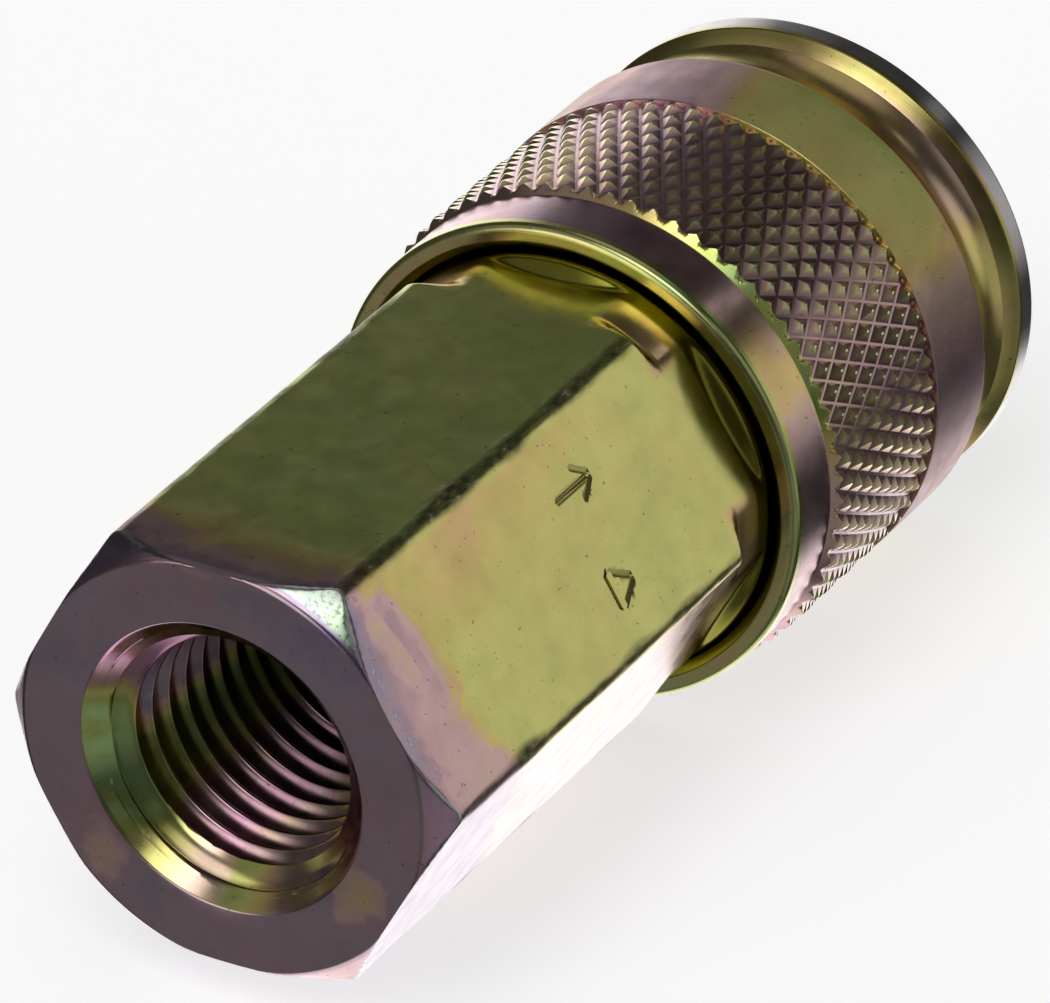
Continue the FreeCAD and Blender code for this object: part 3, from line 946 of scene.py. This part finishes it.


# How the films and the painted light and shade change round the axis: (turn, level), where turn is 0 at the
# bottom,
# 0.25 at +Y, 0.5 at the top and 0.75 at -Y
CHAMFER_FILM = [
    (0.0, 0.60), (0.30, 0.74), (0.42, 0.86), (0.48, 0.86), (0.51, 0.98), (0.61, 0.98), (0.65, 0.74),
    (0.73, 0.82), (0.78, 0.82), (0.88, 0.58), (1.0, 0.60),
]
CHAMFER_SPECKS = [(0.555, 0.0), (0.58, 0.45), (0.60, 0.60), (0.62, 0.2), (0.64, 0.0)]
CHAMFER_BLUSH = [(0.0, 0.3), (0.1, 0.0), (0.70, 0.0), (0.74, 0.45), (0.79, 0.45), (0.83, 0.1), (1.0, 0.3)]
SINK_FILM = [
    (0.0, 0.26), (0.08, 0.22), (0.15, 0.12), (0.20, 0.03), (0.27, 0.03), (0.31, 0.45), (0.35, 0.60),
    (0.50, 0.70), (0.85, 0.70), (0.95, 0.50), (1.0, 0.26),
]
THREAD_FILM = [
    (0.0, 0.58), (0.06, 0.66), (0.11, 0.60), (0.14, 0.20), (0.21, 0.10), (0.25, 0.80), (0.33, 0.86),
    (0.45, 0.92), (0.70, 0.80), (0.90, 0.70), (1.0, 0.58),
]
BORE_BLUSH = [
    (0.0, 0.0), (0.02, 0.45), (0.05, 0.5), (0.09, 0.0), (0.30, 0.0), (0.35, 0.9), (0.42, 0.8),
    (0.50, 0.2), (0.55, 0.0),
]
REAR_BAND_FILM = [
    (0.0, 0.56), (0.42, 0.62), (0.50, 0.71), (0.60, 0.69), (0.63, 0.46), (0.67, 0.36), (0.71, 0.64),
    (0.80, 0.70), (1.0, 0.58),
]
# Painted shade on the rear band: darker over the top and on the -Y side
REAR_BAND_PAINTED_SHADE = [
    (0.46, 1.0), (0.49, 0.72), (0.60, 0.72), (0.63, 1.0), (0.68, 1.0), (0.71, 0.66),
    (0.76, 0.66), (0.79, 1.0),
]
FRONT_BAND_FILM = [
    (0.0, 0.40), (0.40, 0.60), (0.49, 0.66), (0.53, 0.27), (0.62, 0.23), (0.65, 0.34), (0.69, 0.56),
    (0.78, 0.66), (1.0, 0.40),
]
# Painted shade on the front band: darker on its -Y side
FRONT_BAND_PAINTED_SHADE = [(0.62, 1.0), (0.67, 0.8), (0.70, 0.52), (0.745, 0.52), (0.78, 1.0)]
FRONT_BAND_SATIN = [(0.51, 0.0), (0.55, 0.45), (0.62, 0.45), (0.66, 0.1), (0.69, 0.0)]
HOLLOW_FILM = [(0.46, 0.34), (0.52, 0.43), (0.60, 0.48), (0.66, 0.43), (0.74, 0.34)]
BEVEL_FILM = [(0.0, 0.55), (0.46, 0.50), (0.56, 0.30), (0.60, 0.08), (0.69, 0.08), (0.74, 0.55)]
# Painted light and shade on the knurl: brighter or darker by its side round the axis
KNURL_PAINTED_LIGHT = [
    (0.0, 0.8), (0.40, 0.9), (0.46, 1.0), (0.54, 1.0), (0.58, 0.60), (0.63, 0.52), (0.655, 0.85),
    (0.69, 1.0), (0.76, 0.9), (1.0, 0.8),
]
# olive patches on the rear face: centre y and z and reach in millimetres, and the change of film
FACE_PATCHES = [(6.4, -6.2, 1.7, -0.26), (-7.2, -4.9, 1.8, -0.37)]


def body_film(look):
    """Olive on the flats, greener on the upper one, through rose to mauve near the rear face."""
    x, y, z = look.axes()
    radius = look.radius()
    turn = look.turn()
    from_cone = look.total(look.math("SUBTRACT", x, radius), R_REAR_FACE * MM)
    off_face = look.ease(x, 0.35, 0.55)
    on_top = look.ease(z, 9.6, 10.25)

    edge = look.total(x, look.product(z, 0.5), look.wander(1.5 * MM, 4.5, 6.0, 0.8))
    rose = look.ease(edge, 6.2, 8.2, 0.345, 0.0)
    top_rose = look.product(on_top, look.ease(edge, 6.4, 10.6, 0.46, 0.0))
    # Painted shade: the top flat darkens towards the rear face, down to 0.58
    painted_top_shade = look.product(on_top, off_face, look.ease(edge, 7.5, 12.0, 0.42, 0.0))
    face = look.ease(x, 0.4, 1.6, 0.17, 0.0)
    green = look.product(on_top, -0.11)
    lower = look.product(look.ease(z, -0.9, 0.1, 0.34, 0.0), look.ease(x, 0.4, 1.6))
    ends = look.ease(x, 29.0, 30.8, 0.0, -0.03)
    on_step = look.ease(x, 30.66, 30.84)
    shoulder = look.product(look.ease(z, 4.6, 9.3, 0.0, 0.15), look.ease(x, 15.0, 25.0, 1.0, 0.0),
                            look.math("LESS_THAN", y, 0.0), look.math("SUBTRACT", 1.0, on_top))
    collar = look.product(look.ease(x, 27.7, 28.1, 0.0, 0.20), look.ease(radius, 10.85, 10.98))
    speckled = look.product(off_face, look.ease(from_cone, 0.3, 1.7, 1.0, 0.0),
                            look.remap(look.noise(0.6, 4.0), 0.50, 0.64, 0.0, 0.24))
    plain_film = look.total(0.245, look.math("MAXIMUM", rose, top_rose), face, green, lower, ends, collar,
                            shoulder)
    outer_film = look.total(look.math("MINIMUM", plain_film, 0.83), speckled)

    on_face = look.ease(x, 0.1, 0.3, 1.0, 0.0)
    for patch_y, patch_z, reach, change in FACE_PATCHES:
        away = look.length(look.math("SUBTRACT", y, patch_y * MM), look.math("SUBTRACT", z, patch_z * MM))
        ragged = look.total(away, look.wander(0.6 * MM, 1.6, 3.0))
        patch = look.ease(ragged, 0.1 * reach, 1.1 * reach, change, 0.0)
        outer_film = look.total(outer_film, look.product(on_face, patch))

    on_chamfer = look.product(look.ease(x, 0.12, 0.30), look.math("LESS_THAN", x, 1.7 * MM),
                              look.math("LESS_THAN", from_cone, 0.012 * MM))
    outer_film = look.blend(on_chamfer, outer_film, look.levels(turn, CHAMFER_FILM))

    on_thread = look.ease(x, 1.7, 2.4)
    bore_film = look.blend(on_thread, look.levels(turn, SINK_FILM), look.levels(turn, THREAD_FILM))
    bore_film = look.total(bore_film, look.wander(0.12, 2.4, 3.0, 0.6))
    in_bore = look.ease(radius, 7.40, 7.44, 1.0, 0.0)
    # Painted shade: the bore darkens from 1.0 to 0.30 between 4 and 11 mm in from the rear face
    painted_bore_shade = look.ease(x, 4.0, 11.0, 1.0, 0.30)
    # Painted shade and reflection: the step face beside the gap to the sleeve is darkened to 0.55 and mixed
    # towards the deeper gold
    painted_step_shade = look.blend(on_step, 1.0, 0.55)
    specks = look.product(on_chamfer, look.levels(turn, CHAMFER_SPECKS),
                          look.remap(look.noise(0.22, 5.0), 0.51, 0.62, 0.0, 1.0))
    bore_blush = look.product(in_bore, look.levels(turn, BORE_BLUSH))
    corner_blush = look.product(on_chamfer, look.levels(turn, CHAMFER_BLUSH))
    bare = look.product(off_face, look.between(from_cone, 0.015, 0.15, 0.02),
                        look.math("LESS_THAN", x, 1.9 * MM),
                        look.remap(look.noise(0.5, 3.0), 0.36, 0.52, 0.25, 0.9))
    return {
        "film": look.blend(in_bore, outer_film, bore_film),
        "shade": look.product(look.blend(in_bore, painted_step_shade, painted_bore_shade), look.math("SUBTRACT", 1.0, painted_top_shade),
                              look.math("SUBTRACT", 1.0, specks)),
        "bare": bare,
        "blush": look.total(bore_blush, corner_blush),
        # Painted reflection: the step face mixed towards the deeper gold
        "painted_reflection": on_step,
    }


def sleeve_film(look):
    """Mauve rear band, lime bevel, rose knurl with olive points, olive front band and golden hollow."""
    x = look.axes()[0]
    radius = look.radius()
    turn = look.turn()
    rear, front = look.levels(turn, REAR_BAND_FILM), look.levels(turn, FRONT_BAND_FILM)
    hollow, bevel = look.levels(turn, HOLLOW_FILM), look.levels(turn, BEVEL_FILM)
    lip = look.ease(radius, 12.15, 12.35, 0.30, 0.16)
    point = look.ease(radius, 12.80, 12.92, 0.58, 0.29)
    film = lip
    stations = [(32.3, rear), (34.95, bevel), (35.45, point), (45.06, front), (50.3, hollow), (54.0, 0.34),
                (54.7, 0.80)]
    for station, value in stations:
        beyond = look.ease(x, station - 0.03, station + 0.03)
        film = look.blend(beyond, film, value)
    on_knurl = look.between(x, 35.45, 45.06, 0.03)
    on_front = look.between(x, 45.12, 50.2, 0.1)
    # Painted shade: the knurl's grooves darkened to 0.60, rising to 0.98 at its points
    painted_groove_shade = look.ease(radius, 12.74, 12.90, 0.60, 0.98)
    # Painted light and shade: the knurl up to 1.3 times brighter, dimmed on some sides
    painted_knurl_light = look.product(1.3, look.levels(turn, KNURL_PAINTED_LIGHT))
    on_rear = look.between(x, 32.0, 34.9, 0.1)
    on_rim = look.ease(x, 54.65, 54.75)
    on_lip = look.product(look.ease(x, 31.9, 32.1, 0.12, 0.0), look.ease(radius, 11.5, 11.6))
    worn_point = look.product(on_knurl, look.ease(radius, 12.86, 12.97, 0.0, 0.6))
    # Painted light and shade: darkened to 0.62 from 53.8 mm forwards over the flange, darker in the knurl's
    # grooves, and lighter or darker by side round the axis on the knurl and both bands
    shade = look.product(look.ease(x, 53.8, 54.2, 1.0, 0.62),
                         look.blend(on_knurl, 1.0, look.product(painted_groove_shade, painted_knurl_light)),
                         look.blend(on_front, 1.0, look.levels(turn, FRONT_BAND_PAINTED_SHADE)),
                         look.blend(on_rear, 1.0, look.levels(turn, REAR_BAND_PAINTED_SHADE)))
    satin = look.levels(turn, FRONT_BAND_SATIN)
    return {
        "film": film,
        "shade": shade,
        "matt": look.product(on_front, 0.22),
        "bare": look.total(worn_point, look.product(on_rim, 0.5), on_lip),
        "metal": look.math("SUBTRACT", 1.0, look.product(on_front, satin)),
    }


def barrel_film(look):
    return {"film": look.ease(look.axes()[0], X_BARREL_REAR, X_BARREL_FRONT, 0.34, 0.24)}


def plain_metal(name, colour, roughness, line="turned", depth=0.003):
    look = Look(name)
    shade = tuple(c * 0.72 for c in colour)
    look.drive("Base Color", look.ramp(look.noise(1.8, 4.0), [(0.35, shade), (0.62, colour)]))
    look.drive("Roughness", look.remap(look.noise(0.7, 4.0), 0.3, 0.7, *roughness))
    stretch = (1, 0.02, 0.02) if line == "turned" else (1, 1, 1)
    look.bump([(look.noise(0.1, 2.0, stretch), depth)])
    return look.material


def moulded(name, colour, roughness, speck=0.2):
    look = Look(name, metallic=0.0)
    light = tuple(min(c * 1.8 + 0.01, 1) for c in colour)
    look.drive("Base Color", look.ramp(look.noise(speck * 4, 4.0), [(0.35, colour), (0.75, light)]))
    look.drive("Roughness", look.remap(look.noise(speck, 3.0), 0.3, 0.7, *roughness))
    look.bump([(look.noise(speck, 3.0), 0.006)])
    return look.material


# ---- the coupler ----------------------------------------------------------------------------------
body = flow_marks(machined_body())
place(body, "coupler_body", "body_plating", "hex_body")
sleeve = place(knurled_sleeve(), "sleeve", "sleeve_plating", "sleeve")

sleeve_coil = coil("sleeve_spring_coil", X_BODY_FRONT, X_WASHER, 3.2, 10.2, 1.1)
place(sleeve_coil, "coupler_body", "spring_wire", "sleeve_spring")
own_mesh(sleeve_coil)
valve_coil = coil("valve_spring_coil", X_GUIDE_FRONT, X_POPPET, 5.0, 4.4, 0.8)
place(valve_coil, "coupler_body", "spring_wire", "valve_spring")
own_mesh(valve_coil)

slot_of = {s["node"]: s["material_slot"] for s in frame["record"]["subparts"]}
body_of = {node: body for body, nodes in frame["record"]["behaviour"]["bodies"].items() for node in nodes}
inner = {
    "barrel": barrel(),
    "retaining_ring": retaining_wire(),
    "plug_seal": plug_o_ring(),
    "plug_seal_backup_ring": soft_ring("backup_ring", "plug_seal_backup_ring", R_LIP, 0.06),
    "body_gasket": soft_ring("gasket_ring", "body_gasket", 6.6, 0.15),
    "spring_washer": soft_ring("washer_ring", "spring_washer", R_BARREL + 0.15, 0.2),
    "valve_poppet": poppet(),
    "valve_seal": soft_ring("valve_seal_disc", "valve_seal", R_NOSE + 0.03, 0.18),
    "valve_seal_retainer": soft_ring("seal_retainer_ring", "valve_seal_retainer", R_NOSE + 0.02, 0.12),
}
for node, piece in inner.items():
    place(piece, body_of[node], slot_of[node], node)

LOOKS = {
    "body_plating": plated("body_plating", body_film, drift=0.05, lines="drawn", line_depth=0.0008,
                           gloss=(0.15, 0.24)),
    "sleeve_plating": plated("sleeve_plating", sleeve_film, drift=0.09, patch=9.0, line_depth=0.002,
                             gloss=(0.16, 0.27)),
    "barrel_plating": plated("barrel_plating", barrel_film, drift=0.12, gloss=(0.18, 0.28)),
    "washer_steel": plain_metal("washer_steel", (0.58, 0.58, 0.55), (0.25, 0.4)),
    "spring_wire": plain_metal("spring_wire", (0.50, 0.50, 0.49), (0.2, 0.35), "plain"),
    "clip_steel": plain_metal("clip_steel", (0.16, 0.16, 0.17), (0.35, 0.5), "plain"),
    "ball_steel": plain_metal("ball_steel", (0.80, 0.81, 0.82), (0.06, 0.12), "plain", 0.0004),
    "valve_brass": plain_metal("valve_brass", (0.80, 0.60, 0.28), (0.2, 0.34)),
    "nitrile": moulded("nitrile", (0.018, 0.018, 0.019), (0.42, 0.6)),
    "backup_plastic": moulded("backup_plastic", (0.80, 0.79, 0.74), (0.45, 0.6)),
}
for node, piece in frame["nodes"].items():
    piece.data.materials.clear()
    piece.data.materials.append(LOOKS[slot_of[node]])
for piece in (body, sleeve, sleeve_coil, valve_coil, *inner.values()):
    piece.data.materials.clear()
    piece.data.materials.append(LOOKS[piece["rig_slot"]])


# ---- studio ---------------------------------------------------------------------------------------
def direction(azimuth, elevation):
    a, e = math.radians(azimuth), math.radians(elevation)
    return Vector((math.cos(a) * math.cos(e), math.sin(a) * math.cos(e), math.sin(e)))


def studio_world():
    """Soft studio surroundings: a dim room with broad soft light areas, each a smooth round lobe."""
    # azimuth from +X towards +Y, elevation, radius of the full-bright part, outer radius, strength
    lobes = [
        (38, -8, 13, 33, 1.7), (20, -46, 20, 33, 1.7), (30, -80, 16, 34, 1.4), (-168, 53, 10, 23, 2.6),
        (-41, 3, 5, 24, 0.68), (-72, -12, 8, 26, 0.40), (-26.5, 33, 1.5, 5, 0.70), (-100, 28, 10, 34, 0.30),
        (150, -38, 20, 40, 0.15), (-118, -32, 12, 34, 0.22), (135, 42, 10, 30, 0.20), (160, 12, 9, 23, 1.6),
        (30, 30, 6, 16, 0.09), (5, 72, 10, 28, 0.40), (-165, -30, 8, 24, 0.12),
    ]
    world = bpy.data.worlds.new("studio")
    bpy.context.scene.world = world
    world.use_nodes = True
    tree = world.node_tree
    tree.nodes.clear()
    way = new_node(tree, "TexCoord", {}).outputs["Generated"]
    total = 0.0
    for azimuth, elevation, inner, outer, strength in lobes:
        facing = new_node(tree, "VectorMath", {0: way, 1: direction(azimuth, elevation)},
                          operation="DOT_PRODUCT").outputs["Value"]
        edge, core = math.cos(math.radians(outer)), math.cos(math.radians(inner))
        fade = new_node(tree, "MapRange", {"From Min": edge, "From Max": core, "To Max": strength,
                                           "Value": facing}, interpolation_type="SMOOTHSTEP")
        total = new_node(tree, "Math", {0: total, 1: fade.outputs["Result"]},
                         operation="MAXIMUM").outputs["Value"]
    room = new_node(tree, "Math", {0: total, 1: 0.06}, operation="ADD").outputs["Value"]
    glow = new_node(tree, "Background", {"Strength": room})
    pale = new_node(tree, "Background", {"Color": (0.95, 0.95, 0.95, 1)})
    seen = new_node(tree, "LightPath", {}).outputs["Is Camera Ray"]
    mix = new_node(tree, "MixShader", {0: seen, 1: glow.outputs[0], 2: pale.outputs[0]})
    new_node(tree, "OutputWorld", {"Surface": mix.outputs[0]})


def pale_floor():
    mesh = bpy.data.meshes.new("floor")
    half = 3.0
    z = cad_low.z - 0.00002
    corners = [(-half, -half, z), (half, -half, z), (half, half, z), (-half, half, z)]
    mesh.from_pydata(corners, [], [(0, 1, 2, 3)])
    floor = bpy.data.objects.new("floor", mesh)
    bpy.context.scene.collection.objects.link(floor)
    look = Look("floor_paper", metallic=0.0, roughness=0.8)
    look.shader.inputs["Base Color"].default_value = (0.92, 0.92, 0.92, 1)
    look.shader.inputs["Specular IOR Level"].default_value = 0.0
    look.shader.inputs["Emission Color"].default_value = (1, 1, 1, 1)
    look.shader.inputs["Emission Strength"].default_value = 0.66
    mesh.materials.append(look.material)
    floor.visible_glossy = False


def studio_camera():
    """Long lens, looking along the coupler from behind and above its left shoulder."""
    target = Vector((26.3, -0.9, 0.9)) * MM
    azimuth, elevation, roll = 30.37, -29.61, -1.46
    distance = 0.47
    forward = direction(azimuth, elevation)
    data = bpy.data.cameras.new("camera")
    data.sensor_width = 36
    data.lens = 342.2
    data.clip_start, data.clip_end = 0.01, 10
    camera = bpy.data.objects.new("camera", data)
    camera.location = target - forward * distance
    turn = forward.to_track_quat("-Z", "Y").to_matrix().to_4x4()
    turn = turn @ Matrix.Rotation(math.radians(roll), 4, "Z")
    camera.rotation_euler = turn.to_euler()
    bpy.context.scene.collection.objects.link(camera)
    bpy.context.scene.camera = camera


studio_world()
pale_floor()
studio_camera()
bpy.context.scene.view_settings.view_transform = "Standard"
